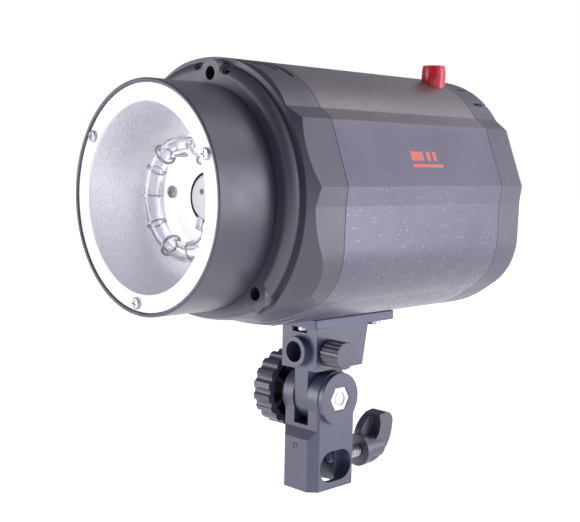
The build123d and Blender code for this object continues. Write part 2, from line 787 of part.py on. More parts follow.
def fuse_holder():
    x, up = FUSE_AT
    z = HOOD_Z + up
    body = rod_y(6.1, PANEL_FACE - 26, PANEL_FACE, x, z) + rod_y(7.6, PANEL_FACE, PANEL_FACE + 1.6, x, z)
    return body - rod_y(4.9, PANEL_FACE - 24, PANEL_FACE + 2, x, z)


def fuse_cap():
    x, up = FUSE_AT
    z = HOOD_Z + up
    cap = slab_y(scalloped(6.6, 16, 0.5, 6.8), PANEL_FACE + 1.9, PANEL_FACE + 7.5, x, z)
    cap += rod_y(4.85, PANEL_FACE - 4, PANEL_FACE + 1.9, x, z)
    cap -= rod_y(2.6, PANEL_FACE - 5, PANEL_FACE + 1, x, z)
    return cap - box(x - 4.5, x + 4.5, PANEL_FACE + 6.7, PANEL_FACE + 8, z - 0.6, z + 0.6)


def fuse():
    x, up = FUSE_AT
    return rod_y(2.5, PANEL_FACE - 21, PANEL_FACE + 0.9, x, HOOD_Z + up)


# ---------------------------------------------------------------- bracket on the head
def mount_plate():
    plate = box(-11.4, 11.4, -14.2, 37.6, WEB_TOP, PLATE_TOP)
    plate = chamfer(plate.edges().filter_by(Axis.Z), 0.6)
    for x, y in PLATE_SCREWS:
        plate -= rod_z(2.1, WEB_TOP - 1, PLATE_TOP + 1, x, y)
    return plate


def plate_screws():
    """Pan-head screws up through the plate into the shell."""
    screws = []
    for x, y in PLATE_SCREWS:
        screw = rod_z(3.4, WEB_TOP - 1.8, WEB_TOP, x, y) + rod_z(2.0, WEB_TOP, PLATE_TOP + 5, x, y)
        slots = box(x - 2, x + 2, y - 0.4, y + 0.4, WEB_TOP - 2, WEB_TOP - 0.9)
        slots += box(x - 0.4, x + 0.4, y - 2, y + 2, WEB_TOP - 2, WEB_TOP - 0.9)
        screws.append(screw - slots)
    return join(screws)


def upper_bracket():
    """Cast web and tongue, with the umbrella tube through it."""
    side = make_face(
        Polyline((WEB_FRONT, WEB_BOTTOM), (17.2, WEB_BOTTOM), (20.5, WEB_TOP), (WEB_FRONT, WEB_TOP), close=True)
    )
    web = extrude(Plane.YZ.offset(-BRACKET_HALF + 0.1) * side, amount=2 * BRACKET_HALF - 0.2)
    web -= box(-4.4, 4.4, WEB_FRONT - 1, -4.6, WEB_TOP - 2.4, WEB_TOP + 1)
    tongue = rod_x(11.2, -TONGUE_HALF, TONGUE_HALF, TILT_Y, TILT_Z)
    tongue += box(-TONGUE_HALF, TONGUE_HALF, TILT_Y - 11.2, TILT_Y + 11.2, TILT_Z, WEB_BOTTOM + 1)
    tube = rod_y(UMBRELLA_TUBE_R, UMBRELLA_FRONT, 20.0, 0, UMBRELLA_Z)
    bracket = web + tongue + tube
    bracket -= rod_y(UMBRELLA_BORE_R, UMBRELLA_FRONT - 1, 25, 0, UMBRELLA_Z)
    bracket -= rod_x(BOLT_HOLE_R, -12, 12, TILT_Y, TILT_Z)
    return bracket - rod_x(UMBRELLA_SCREW_R + 0.04, 0, 12, UMBRELLA_LOCK_Y, UMBRELLA_Z)


def umbrella_lock_screw():
    tip = UMBRELLA_BORE_R + 0.3
    screw = rod_x(UMBRELLA_SCREW_R, tip, 18.0, UMBRELLA_LOCK_Y, UMBRELLA_Z)
    return chamfer(screw.edges().group_by(Axis.X)[0], 0.5)


def umbrella_lock_knob():
    face = scalloped(5.9, 18, 0.5, 5.98)
    knob = slab_x(face, 11.3, 21.4, UMBRELLA_LOCK_Y, UMBRELLA_Z)
    return knob - rod_x(UMBRELLA_SCREW_R + 0.04, 11, 18.1, UMBRELLA_LOCK_Y, UMBRELLA_Z)


# ---------------------------------------------------------------- stand bracket
def hexagon_along_x(across_flats, x0, x1):
    """A hexagonal bar on the tilt axis, with two corners along Y."""
    face = RegularPolygon(across_flats / 2, 6, major_radius=False, rotation=0)
    return slab_x(face, x0, x1, TILT_Y, TILT_Z)


def stand_bracket():
    """Clevis and stand socket in one casting."""
    body = box(-BRACKET_HALF, BRACKET_HALF, BLOCK_FRONT, BLOCK_REAR, 0, TILT_Z)
    body = chamfer(body.edges().filter_by(Axis.Z).group_by(Axis.Y)[0], 3.7)
    step = make_face(
        Polyline(
            (BLOCK_FRONT - 2, BLOCK_TOP),
            (BLOCK_FRONT, BLOCK_TOP),
            (NECK_FRONT, SHOULDER_TOP),
            (NECK_FRONT, TILT_Z + 1),
            (BLOCK_FRONT - 2, TILT_Z + 1),
            close=True,
        )
    )
    body -= extrude(Plane.YZ.offset(-BRACKET_HALF - 1) * step, amount=2 * BRACKET_HALF + 2)
    body += rod_x(EAR_R, -BRACKET_HALF, BRACKET_HALF, TILT_Y, TILT_Z)
    body += rod_x(11.5, BRACKET_HALF, DISC_FACE, TILT_Y, TILT_Z)
    body += rod_x(10.5, -LEFT_DISC_FACE, -BRACKET_HALF, TILT_Y, TILT_Z)
    body -= box(-SLOT_HALF, SLOT_HALF, -30, 30, 28.9, TILT_Z + 20)
    body -= hexagon_along_x(10.5, DISC_FACE - 3.6, DISC_FACE + 1)
    body -= rod_x(BOLT_HOLE_R, -20, 20, TILT_Y, TILT_Z)
    body -= rod_z(SOCKET_R, -1, SOCKET_DEPTH, 0, 0)
    window = SlotOverall(20.0, 13.8)
    body -= slab_x(window, 4.6, BRACKET_HALF + 1, 1.2, LOCK_Z)
    body -= rod_y(LOCK_SCREW_R + 0.05, 0, 16, 0, LOCK_Z)
    ring = rod_y(1.35, BLOCK_FRONT - 0.25, BLOCK_FRONT, -0.6, BLOCK_TOP - 3.4)
    return body + ring - rod_y(0.95, BLOCK_FRONT - 1, BLOCK_FRONT, -0.6, BLOCK_TOP - 3.4)


def tilt_bolt():
    head = hexagon_along_x(10.0, DISC_FACE - 3.5, DISC_FACE - 0.2)
    head -= rod_x(3.1, DISC_FACE - 0.8, DISC_FACE + 1, TILT_Y, TILT_Z)
    dome = rod_x(2.6, DISC_FACE - 1.2, DISC_FACE - 0.4, TILT_Y, TILT_Z)
    return head + dome + rod_x(BOLT_R, -22.0, DISC_FACE - 3.0, TILT_Y, TILT_Z)


def tilt_washer():
    washer = rod_x(6.4, -13.5, -LEFT_DISC_FACE - 0.02, TILT_Y, TILT_Z)
    return washer - rod_x(BOLT_HOLE_R + 0.03, -20, 0, TILT_Y, TILT_Z)


def tilt_knob():
    """Big lobed hand knob with a hollow inner face."""
    face = scalloped(17.0, 18, 1.9, 17.8)
    knob = slab_x(face, -24.5, -14.6, TILT_Y, TILT_Z)
    knob -= rod_x(13.6, -20.0, -14, TILT_Y, TILT_Z)
    knob += rod_x(6.6, -24.0, -13.6, TILT_Y, TILT_Z)
    for n in range(6):
        spoke = box(-20.0, -15.6, -0.8, 0.8, 5.0, 14.0)
        knob += Pos(0, TILT_Y, TILT_Z) * Rot(60 * n, 0, 0) * spoke
    knob -= rod_x(4.6, -22.4, -13, TILT_Y, TILT_Z)
    return knob


def knob_insert():
    insert = rod_x(4.6, -22.4, -13.6, TILT_Y, TILT_Z)
    return insert - rod_x(BOLT_R + 0.05, -30, 0, TILT_Y, TILT_Z)


def friction_washers():
    """Thin fibre rings between the ears and the tongue."""
    rings = []
    for side in (-1, 1):
        low, high = sorted((side * (TONGUE_HALF + 0.03), side * (SLOT_HALF - 0.01)))
        ring = rod_x(9.0, low, high, TILT_Y, TILT_Z) - rod_x(BOLT_R + 0.3, -20, 20, TILT_Y, TILT_Z)
        rings.append(ring)
    return join(rings)


def stand_lock_screw():
    screw = rod_y(LOCK_SCREW_R, SOCKET_R + 0.2, WING_HUB_Y + 6.0, 0, LOCK_Z)
    return chamfer(screw.edges().group_by(Axis.Y)[0], 0.6)


def wing_knob():
    """Flanged hub with one thick lever that curls back and up."""
    y = WING_HUB_Y
    hub = rod_y(7.6, y, y + 3, 0, LOCK_Z) + rod_y(5.6, y + 3, y + 14, 0, LOCK_Z)
    lever = make_face(
        Curve()
        + [
            ThreePointArc((y + 3, 3.9), (y + 15.5, 8.2), (y + 20.8, 19.5)),
            ThreePointArc((y + 20.8, 19.5), (y + 20.2, 24.3), (y + 16.2, 26.4)),
            Line((y + 16.2, 26.4), (y + 11.2, 25.6)),
            ThreePointArc((y + 11.2, 25.6), (y + 10.6, 16.0), (y + 3, 12.0)),
            Line((y + 3, 12.0), (y + 3, 3.9)),
        ]
    )
    web = make_face(
        Curve()
        + [
            ThreePointArc((y + 3, 14.0), (y + 5.6, 20.8), (y + 12.0, 25.5)),
            Line((y + 12.0, 25.5), (y + 14.0, 18.0)),
            Line((y + 14.0, 18.0), (y + 3, 10.0)),
            Line((y + 3, 10.0), (y + 3, 14.0)),
        ]
    )
    knob = hub + extrude(Plane.YZ.offset(-5.0) * lever, amount=9.0)
    knob += extrude(Plane.YZ.offset(-5.0) * web, amount=4.0)
    return knob - rod_y(LOCK_SCREW_R + 0.04, y - 1, y + 6.1, 0, LOCK_Z)


# ---------------------------------------------------------------- write every node
NODES = {
    "front_housing": front_housing,
    "main_shell": main_shell,
    "rear_cover": rear_cover,
    "rear_panel": rear_panel,
    "front_screws": front_screws,
    "rear_screws": rear_screws,
    "hood_tube": hood_tube,
    "reflector_ring": reflector_ring,
    "reflector_dish": reflector_dish,
    "ring_screws": ring_screws,
    "lamp_base": lamp_base,
    "base_screws": base_screws,
    "bulkhead": bulkhead,
    "flash_tube": flash_tube,
    "tube_electrodes": tube_electrodes,
    "tube_clips": tube_clips,
    "trigger_wire": trigger_wire,
    "lampholder": lampholder,
    "holder_contacts": holder_contacts,
    "holder_clips": holder_clips,
    "main_capacitor": main_capacitor,
    "capacitor_strap": capacitor_strap,
    "main_board": main_board,
    "board_standoffs": board_standoffs,
    "board_parts": board_parts,
    "trigger_coil": trigger_coil,
    "tube_leads": tube_leads,
    "sensor_window": sensor_window,
    "sensor_diode": sensor_diode,
    "power_dial": power_dial,
    "dial_shaft": dial_shaft,
    "test_button": test_button,
    "test_bezel": test_bezel,
    "ready_led": ready_led,
    "sync_jack": sync_jack,
    "model_switch_frame": lambda: switch_frame(MODEL_SWITCH_AT),
    "model_rocker": lambda: rocker(MODEL_SWITCH_AT),
    "power_switch_frame": lambda: switch_frame(POWER_SWITCH_AT),
    "power_rocker": lambda: rocker(POWER_SWITCH_AT),
    "mains_inlet": mains_inlet,
    "inlet_pins": inlet_pins,
    "panel_screws": panel_screws,
    "fuse_holder": fuse_holder,
    "fuse_cap": fuse_cap,
    "fuse": fuse,
    "mount_plate": mount_plate,
    "plate_screws": plate_screws,
    "upper_bracket": upper_bracket,
    "umbrella_lock_screw": umbrella_lock_screw,
    "umbrella_lock_knob": umbrella_lock_knob,
    "stand_bracket": stand_bracket,
    "tilt_bolt": tilt_bolt,
    "tilt_washer": tilt_washer,
    "tilt_knob": tilt_knob,
    "knob_insert": knob_insert,
    "friction_washers": friction_washers,
    "stand_lock_screw": stand_lock_screw,
    "wing_knob": wing_knob,
}

os.makedirs("parts", exist_ok=True)
for node, make in NODES.items():
    write(node, make())
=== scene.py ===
import math

import bmesh
import bpy
from mathutils import Matrix, Vector


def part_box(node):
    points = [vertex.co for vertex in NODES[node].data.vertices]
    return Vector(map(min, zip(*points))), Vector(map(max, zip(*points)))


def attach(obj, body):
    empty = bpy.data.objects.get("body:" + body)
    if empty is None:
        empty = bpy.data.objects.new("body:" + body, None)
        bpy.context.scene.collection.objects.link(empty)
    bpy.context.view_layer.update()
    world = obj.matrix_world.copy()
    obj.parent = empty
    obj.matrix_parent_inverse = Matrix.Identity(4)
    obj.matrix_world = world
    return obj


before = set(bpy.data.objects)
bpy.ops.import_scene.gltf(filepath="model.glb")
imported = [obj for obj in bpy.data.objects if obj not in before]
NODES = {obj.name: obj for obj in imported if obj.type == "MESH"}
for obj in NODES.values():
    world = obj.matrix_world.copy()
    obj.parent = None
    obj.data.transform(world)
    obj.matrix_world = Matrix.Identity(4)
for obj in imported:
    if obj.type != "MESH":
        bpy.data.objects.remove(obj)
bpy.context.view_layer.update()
MM = 0.001
HOOD_Z = 129.2  # height of the hood's axis, mm
PANEL_PRINT = 68.25  # y of the print on the rear panel, mm
FLOOR_Z = -0.065  # below everything at every tilt of the head
FLOOR_HALF = 6.0
CAMERA_LENS = 63.7  # mm, on a sensor 36 mm wide
CAMERA_PLACE = (0.3110, -0.3266, 0.1450)
CAMERA_RIGHT = (0.70110, 0.71274, 0.02136)
CAMERA_UP = (-0.08548, 0.05427, 0.99486)
CAMERA_BACK = (0.70792, -0.69932, 0.09897)
BRIGHT_SIDE = (0.62, 0.74, -0.25)  # direction of the surround's brightest part
SURROUND_LEVELS = ((0.0, 0.50), (0.42, 0.05), (0.92, 1.35))  # place along that direction, brightness
SURROUND_TINT = (0.95, 0.93, 1.06)
LIGHTS = {
    "key": {
        "place": (0.95, 0.62, 0.14),
        "aim": (0, 0, 0.12),
        "size": (0.6, 0.9),
        "power": 7.6,
        "colour": (0.93, 0.91, 1.0),
    },
    "front": {
        "place": (-0.55, -0.90, 0.20),
        "aim": (0, 0, 0.12),
        "size": (0.5, 0.5),
        "power": 4.5,
        "colour": (0.95, 0.94, 1.0),
    },
    "top": {
        "place": (0.30, 0.65, 0.85),
        "aim": (0, 0.03, 0.15),
        "size": (0.35, 0.35),
        "power": 0.8,
        "colour": (1.0, 0.95, 0.92),
    },
}
PAPER_WHITE = (0.93, 0.93, 0.93, 1)
TOP_LIT_START = HOOD_Z + 27  # painted light from above: the shell's colour turns lighter and warmer over these heights, mm
TOP_LIT_FULL = HOOD_Z + 33
FLECKS_FULL = HOOD_Z - 4  # the flecks fade over these heights, mm
FLECKS_FADED = HOOD_Z + 16
FLECK_THRESHOLD = 0.60  # cells whose random value is above this have a fleck
FLECK_TURN = (0.5, 0.7, 0.3)  # turns the cells off the panels' planes, so flecks don't fall in rows
CLOUD_LOW = 0.3  # most values of a noise lie between these two
CLOUD_HIGH = 0.7
WAVE_PER_PITCH = 0.314  # scale of a wave texture whose bands are one unit apart
RIGHT_PANEL_FOOT = (57.8, 6.0)  # x, and height over the hood's axis, of the side panel's lower edge, mm
RIGHT_PANEL_HEAD = (48.3, 30.9)  # the same for its upper edge
MARK_BARS = (
    (-6.0, 13.5, 13.6, 14.8),
    (-6.0, 2.0, 16.2, 19.8),
    (4.0, 6.4, 16.2, 19.8),
    (8.0, 10.4, 16.2, 19.8),
)  # front, rear, low and high of each bar of the side mark, mm
# inner and outer radius of the dark ring of painted shade in the lamp holder's clearance, mm
GAP_SHADE_RADII = (8.9, 10.2)
GAP_SHADE_SIDES = 48
DIAL_CENTRE_Z = HOOD_Z + 16
DIAL_SWEEP = 135  # degrees the dial turns to each side
TICKS = 11
NUMBERS = 6
NUMBER_REACH = 17.0
NUMBER_SIZE = 2.7


# ---------------------------------------------------------------- camera, light and floor


def add_camera():
    """Looks at the hood's mouth from its front right, a little above the hood's axis."""
    data = bpy.data.cameras.new("camera")
    data.lens = CAMERA_LENS
    data.sensor_width = 36.0
    data.clip_start = 0.01
    axes = [Vector(axis).normalized() for axis in (CAMERA_RIGHT, CAMERA_UP, CAMERA_BACK)]
    turn = Matrix(axes).transposed().to_4x4()
    camera = bpy.data.objects.new("camera", data)
    camera.matrix_world = Matrix.Translation(CAMERA_PLACE) @ turn
    bpy.context.scene.collection.objects.link(camera)
    bpy.context.scene.camera = camera


def add_area(name, place, aim, size, power, colour):
    """A soft rectangular light at a place, turned to an aim, both in metres."""
    data = bpy.data.lights.new(name, "AREA")
    data.shape = "RECTANGLE"
    data.size = size[0]
    data.size_y = size[1]
    data.energy = power
    data.color = colour
    light = bpy.data.objects.new(name, data)
    light.location = place
    light.rotation_euler = (Vector(aim) - Vector(place)).to_track_quat("-Z", "Y").to_euler()
    bpy.context.scene.collection.objects.link(light)


def add_world():
    """White studio surround, bright behind the object's right side and dim where the camera stands."""
    world = bpy.data.worlds.new("studio")
    bpy.context.scene.world = world
    world.use_nodes = True
    nodes, links = world.node_tree.nodes, world.node_tree.links
    back = nodes["Background"]
    back.inputs["Strength"].default_value = 1.0
    coords = nodes.new("ShaderNodeTexCoord")
    side = nodes.new("ShaderNodeVectorMath")
    side.operation = "DOT_PRODUCT"
    side.inputs[1].default_value = BRIGHT_SIDE
    spread = nodes.new("ShaderNodeMapRange")
    spread.inputs["From Min"].default_value = -1.0
    tones = nodes.new("ShaderNodeValToRGB")
    elements = tones.color_ramp.elements
    elements.new(0.45)
    for element, (place, level) in zip(elements, SURROUND_LEVELS):
        element.position = place
        element.color = (*shade(SURROUND_TINT, level), 1)
    path = nodes.new("ShaderNodeLightPath")
    mix = nodes.new("ShaderNodeMix")
    mix.data_type = "RGBA"
    links.new(coords.outputs["Generated"], side.inputs[0])
    links.new(side.outputs["Value"], spread.inputs["Value"])
    links.new(spread.outputs["Result"], tones.inputs[0])
    links.new(path.outputs["Is Camera Ray"], mix.inputs["Factor"])
    links.new(tones.outputs["Color"], mix.inputs["A"])
    mix.inputs["B"].default_value = (1.0, 1.0, 1.0, 1)
    links.new(mix.outputs["Result"], back.inputs["Color"])


def add_floor():
    """A wide sheet of pale studio paper with a glow of its own, so that it stays near white."""
    mesh = bpy.data.meshes.new("floor")
    corners = [(x * FLOOR_HALF, y * FLOOR_HALF, 0) for x, y in ((-1, -1), (1, -1), (1, 1), (-1, 1))]
    mesh.from_pydata(corners, [], [(0, 1, 2, 3)])
    floor = bpy.data.objects.new("floor", mesh)
    floor.location.z = FLOOR_Z
    bpy.context.scene.collection.objects.link(floor)
    mat, shader = new_material("floor_paper")
    shader.inputs["Base Color"].default_value = PAPER_WHITE
    shader.inputs["Roughness"].default_value = 0.9
    shader.inputs["Specular IOR Level"].default_value = 0.1
    shader.inputs["Emission Color"].default_value = (1, 1, 1, 1)
    shader.inputs["Emission Strength"].default_value = 0.8
    floor.data.materials.append(mat)


# ---------------------------------------------------------------- materials


def new_material(name):
    """A new material and its shader."""
    mat = bpy.data.materials.new(name)
    mat.use_nodes = True
    return mat, mat.node_tree.nodes["Principled BSDF"]


def object_coords(mat):
    """One shared Object coordinate output for a material."""
    nodes = mat.node_tree.nodes
    node = nodes.get("coords") or nodes.new("ShaderNodeTexCoord")
    node.name = "coords"
    return node.outputs["Object"]


def noise(mat, scale, detail=3.0, rough=0.55):
    """Cloudy values around a half, with scale in features a metre."""
    node = mat.node_tree.nodes.new("ShaderNodeTexNoise")
    node.inputs["Scale"].default_value = scale
    node.inputs["Detail"].default_value = detail
    node.inputs["Roughness"].default_value = rough
    mat.node_tree.links.new(object_coords(mat), node.inputs["Vector"])
    return node.outputs["Fac"]


def ramp(mat, source, stops):
    """Colour ramp from (place, colour) stops."""
    node = mat.node_tree.nodes.new("ShaderNodeValToRGB")
    elements = node.color_ramp.elements
    while len(elements) < len(stops):
        elements.new(0.5)
    for element, (place, colour) in zip(elements, stops):
        element.position = place
        element.color = (*colour, 1)
    mat.node_tree.links.new(source, node.inputs[0])
    return node.outputs["Color"]


def remap(mat, source, low, high, to_low, to_high):
    """Moves values from one range to another, held at its ends."""
    node = mat.node_tree.nodes.new("ShaderNodeMapRange")
    limits = {"From Min": low, "From Max": high, "To Min": to_low, "To Max": to_high}
    for key, value in limits.items():
        node.inputs[key].default_value = value
    mat.node_tree.links.new(source, node.inputs["Value"])
    return node.outputs["Result"]


def math_node(mat, operation, a, b):
    node = mat.node_tree.nodes.new("ShaderNodeMath")
    node.operation = operation
    for socket, value in zip(node.inputs, (a, b)):
        if isinstance(value, (int, float)):
            socket.default_value = value
        else:
            mat.node_tree.links.new(value, socket)
    return node.outputs[0]


def mix_colour(mat, factor, a, b):
    node = mat.node_tree.nodes.new("ShaderNodeMix")
    node.data_type = "RGBA"
    mat.node_tree.links.new(factor, node.inputs["Factor"])
    for key, value in (("A", a), ("B", b)):
        if isinstance(value, tuple):
            node.inputs[key].default_value = (*value, 1)
        else:
            mat.node_tree.links.new(value, node.inputs[key])
    return node.outputs["Result"]


def uneven_colour(mat, scale, detail, dark, light):
    """Base colour that drifts between two tones."""
    tone = ramp(mat, noise(mat, scale, detail), [(CLOUD_LOW, dark), (CLOUD_HIGH, light)])
    shader = mat.node_tree.nodes["Principled BSDF"]
    mat.node_tree.links.new(tone, shader.inputs["Base Color"])


def uneven_gloss(mat, scale, detail, low, high):
    """Roughness that drifts between two values."""
    gloss = remap(mat, noise(mat, scale, detail), CLOUD_LOW, CLOUD_HIGH, low, high)
    shader = mat.node_tree.nodes["Principled BSDF"]
    mat.node_tree.links.new(gloss, shader.inputs["Roughness"])


def add_bump(mat, height, distance):
    """Adds one more bump on top of the normal the shader already has."""
    nodes, links = mat.node_tree.nodes, mat.node_tree.links
    shader = nodes["Principled BSDF"]
    bump = nodes.new("ShaderNodeBump")
    bump.inputs["Distance"].default_value = distance
    bump.inputs["Strength"].default_value = 1.0
    socket = shader.inputs["Normal"]
    if socket.links:
        links.new(socket.links[0].from_socket, bump.inputs["Normal"])
    links.new(height, bump.inputs["Height"])
    links.new(bump.outputs["Normal"], socket)


def soften_edges(mat, radius):
    """Rounds the look of sharp edges by a radius in metres."""
    node = mat.node_tree.nodes.new("ShaderNodeBevel")
    node.samples = 4
    node.inputs["Radius"].default_value = radius
    shader = mat.node_tree.nodes["Principled BSDF"]
    mat.node_tree.links.new(node.outputs["Normal"], shader.inputs["Normal"])


def shade(tone, factor):
    return tuple(channel * factor for channel in tone)


def plastic(name, tone, rough=0.45, grain=2600, depth=0.00003, contrast=0.14, spec=0.5, edge=0.0004):
    """Moulded plastic: fine spark-eroded grain, slow colour and gloss variation, softened edges."""
    mat, shader = new_material(name)
    shader.inputs["Specular IOR Level"].default_value = spec
    if edge:
        soften_edges(mat, edge)
    uneven_colour(mat, 35, 4, shade(tone, 1 - contrast), shade(tone, 1 + contrast))
    uneven_gloss(mat, 90, 5, rough - 0.05, rough + 0.06)
    add_bump(mat, noise(mat, grain, 2), depth)
    return mat


def ink(name, tone, contrast):
    """Matt printing ink, too thin to have softened edges."""
    return plastic(name, tone, 0.5, 900, 0.00001, contrast=contrast, spec=0.4, edge=0)


def metal(name, tone, rough=0.25, scale=400, contrast=0.12):
    """Plated or plain metal with uneven gloss and a light handling texture."""
    mat, shader = new_material(name)
    shader.inputs["Metallic"].default_value = 1.0
    soften_edges(mat, 0.0002)
    uneven_colour(mat, scale, 5, shade(tone, 1 - contrast), tone)
    uneven_gloss(mat, scale * 2.3, 4, rough * 0.7, rough * 1.4)
    add_bump(mat, noise(mat, scale * 4, 3), 0.00001)
    return mat


def flecks(mat, scale, limit):
    """Small sparse dots: 1 inside a dot, 0 elsewhere. Only some of the cells have one."""
    nodes, links = mat.node_tree.nodes, mat.node_tree.links
    cells = nodes.new("ShaderNodeTexVoronoi")
    cells.inputs["Scale"].default_value = scale
    turned = nodes.new("ShaderNodeMapping")
    turned.inputs["Rotation"].default_value = FLECK_TURN
    links.new(object_coords(mat), turned.inputs["Vector"])
    links.new(turned.outputs["Vector"], cells.inputs["Vector"])
    split = nodes.new("ShaderNodeSeparateColor")
    links.new(cells.outputs["Color"], split.inputs[0])
    near = math_node(mat, "LESS_THAN", cells.outputs["Distance"], limit)
    chosen = math_node(mat, "GREATER_THAN", split.outputs[0], FLECK_THRESHOLD)
    return math_node(mat, "MULTIPLY", near, chosen)


def shell_paint():
    """Grey metallic paint with sparse bright flecks, stronger low on the sides, and painted light: the
    top is painted lighter and warmer, standing for light falling from above.
    """
    mat, shader = new_material("shell_paint")
    nodes, links = mat.node_tree.nodes, mat.node_tree.links
    soften_edges(mat, 0.0006)
    split = nodes.new("ShaderNodeSeparateXYZ")
    links.new(object_coords(mat), split.inputs[0])
    height = split.outputs["Z"]
    # painted light: the top blends to a lighter, warmer tone than the sides, standing for light falling
    # from above
    top = remap(mat, height, TOP_LIT_START * MM, TOP_LIT_FULL * MM, 0, 1)
    side_stops = [(CLOUD_LOW, (0.107, 0.102, 0.138)), (CLOUD_HIGH, (0.126, 0.120, 0.160))]
    top_lit_stops = [(CLOUD_LOW, (0.140, 0.122, 0.134)), (CLOUD_HIGH, (0.165, 0.145, 0.156))]
    side_tone = ramp(mat, noise(mat, 40, 4), side_stops)
    top_lit_tone = ramp(mat, noise(mat, 40, 4), top_lit_stops)
    body = mix_colour(mat, top, side_tone, top_lit_tone)
    low = remap(mat, height, FLECKS_FULL * MM, FLECKS_FADED * MM, 0.9, 0.25)
    dots = math_node(mat, "MULTIPLY", flecks(mat, 640, 0.16), low)
    fine = math_node(mat, "MULTIPLY", flecks(mat, 1500, 0.35), 0.08)
    spots = math_node(mat, "MAXIMUM", dots, fine)
    links.new(mix_colour(mat, spots, body, (0.42, 0.40, 0.46)), shader.inputs["Base Color"])
    shader.inputs["Metallic"].default_value = 0.6
    uneven_gloss(mat, 300, 4, 0.34, 0.46)
    shader.inputs["Coat Weight"].default_value = 0.25
    shader.inputs["Coat Roughness"].default_value = 0.25
    add_bump(mat, noise(mat, 1800, 3), 0.00002)
    add_bump(mat, dots, 0.00008)
    return mat


def hood_paint():
    """Dark satin paint with a faint powdery sheen."""
    tone = (0.036, 0.032, 0.055)
    mat = plastic("hood_paint", tone, 0.40, 2200, 0.000012, contrast=0.1, spec=0.85, edge=0.0003)
    shader = mat.node_tree.nodes["Principled BSDF"]
    shader.inputs["Sheen Weight"].default_value = 0.15
    shader.inputs["Sheen Roughness"].default_value = 0.4
    return mat


def dish_metal():
    """Aluminium bowl with a fine pebbled finish."""
    mat, shader = new_material("reflector_metal")
    nodes, links = mat.node_tree.nodes, mat.node_tree.links
    shader.inputs["Metallic"].default_value = 0.85
    tone = ramp(mat, noise(mat, 2100, 2, 0.5), [(0.30, (0.76, 0.74, 0.83)), (0.68, (1.0, 0.98, 1.0))])
    links.new(tone, shader.inputs["Base Color"])
    uneven_gloss(mat, 700, 3, 0.34, 0.5)
    cells = nodes.new("ShaderNodeTexVoronoi")
    cells.feature = "SMOOTH_F1"
    cells.inputs["Scale"].default_value = 1300
    links.new(object_coords(mat), cells.inputs["Vector"])
    add_bump(mat, cells.outputs["Distance"], 0.00012)
    add_bump(mat, noise(mat, 2500, 3), 0.00004)
    return mat


def enamel(name, glow):
    """White gloss enamel. Its glow stands for light that the bowl throws back on it."""
    mat, shader = new_material(name)
    soften_edges(mat, 0.0003)
    uneven_colour(mat, 60, 3, (0.90, 0.89, 0.91), (0.96, 0.96, 0.96))
    uneven_gloss(mat, 150, 3, 0.14, 0.24)
    shader.inputs["Emission Color"].default_value = (1, 1, 1, 1)
    shader.inputs["Emission Strength"].default_value = glow
    add_bump(mat, noise(mat, 700, 2), 0.00001)
    return mat


def glass(name, tint, rough=0.02, body=1.0):
    """Clear or tinted glass, with slightly uneven walls."""
    mat, shader = new_material(name)
    shader.inputs["Transmission Weight"].default_value = body
    shader.inputs["IOR"].default_value = 1.46
    uneven_colour(mat, 120, 3, shade(tint, 0.96), tint)
    uneven_gloss(mat, 200, 3, rough, rough + 0.03)
    add_bump(mat, noise(mat, 160, 2), 0.00006)
    return mat


def red_cover():
    """Red translucent moulding, a little uneven in colour and gloss."""
    mat, shader = new_material("sensor_red")
    uneven_colour(mat, 160, 3, (0.62, 0.012, 0.03), (0.85, 0.03, 0.05))
    shader.inputs["Transmission Weight"].default_value = 0.35
    shader.inputs["Subsurface Weight"].default_value = 0.4
    shader.inputs["Subsurface Radius"].default_value = (0.004, 0.0006, 0.0006)
    uneven_gloss(mat, 300, 3, 0.16, 0.3)
    add_bump(mat, noise(mat, 900, 2), 0.00003)
    return mat


def threaded(name, tone, axis, pitch):
    """Plated metal with a thread's ridges along one axis."""
    mat = metal(name, tone, 0.22)
    nodes, links = mat.node_tree.nodes, mat.node_tree.links
    wave = nodes.new("ShaderNodeTexWave")
    wave.bands_direction = axis
    wave.inputs["Scale"].default_value = WAVE_PER_PITCH / pitch
    wave.inputs["Distortion"].default_value = 0.0
    links.new(object_coords(mat), wave.inputs["Vector"])
    add_bump(mat, wave.outputs["Fac"], 0.0004)
    return mat


def board_laminate():
    """Green circuit board with a faint weave."""
    mat, shader = new_material("board_laminate")
    nodes, links = mat.node_tree.nodes, mat.node_tree.links
    weave = nodes.new("ShaderNodeTexBrick")
    weave.inputs["Scale"].default_value = 160
    weave.inputs["Color1"].default_value = (0.02, 0.16, 0.06, 1)
    weave.inputs["Color2"].default_value = (0.025, 0.19, 0.07, 1)
    weave.inputs["Mortar"].default_value = (0.015, 0.11, 0.045, 1)
    links.new(object_coords(mat), weave.inputs["Vector"])
    links.new(weave.outputs["Color"], shader.inputs["Base Color"])
    uneven_gloss(mat, 250, 3, 0.25, 0.4)
    add_bump(mat, weave.outputs["Fac"], 0.00003)
    return mat


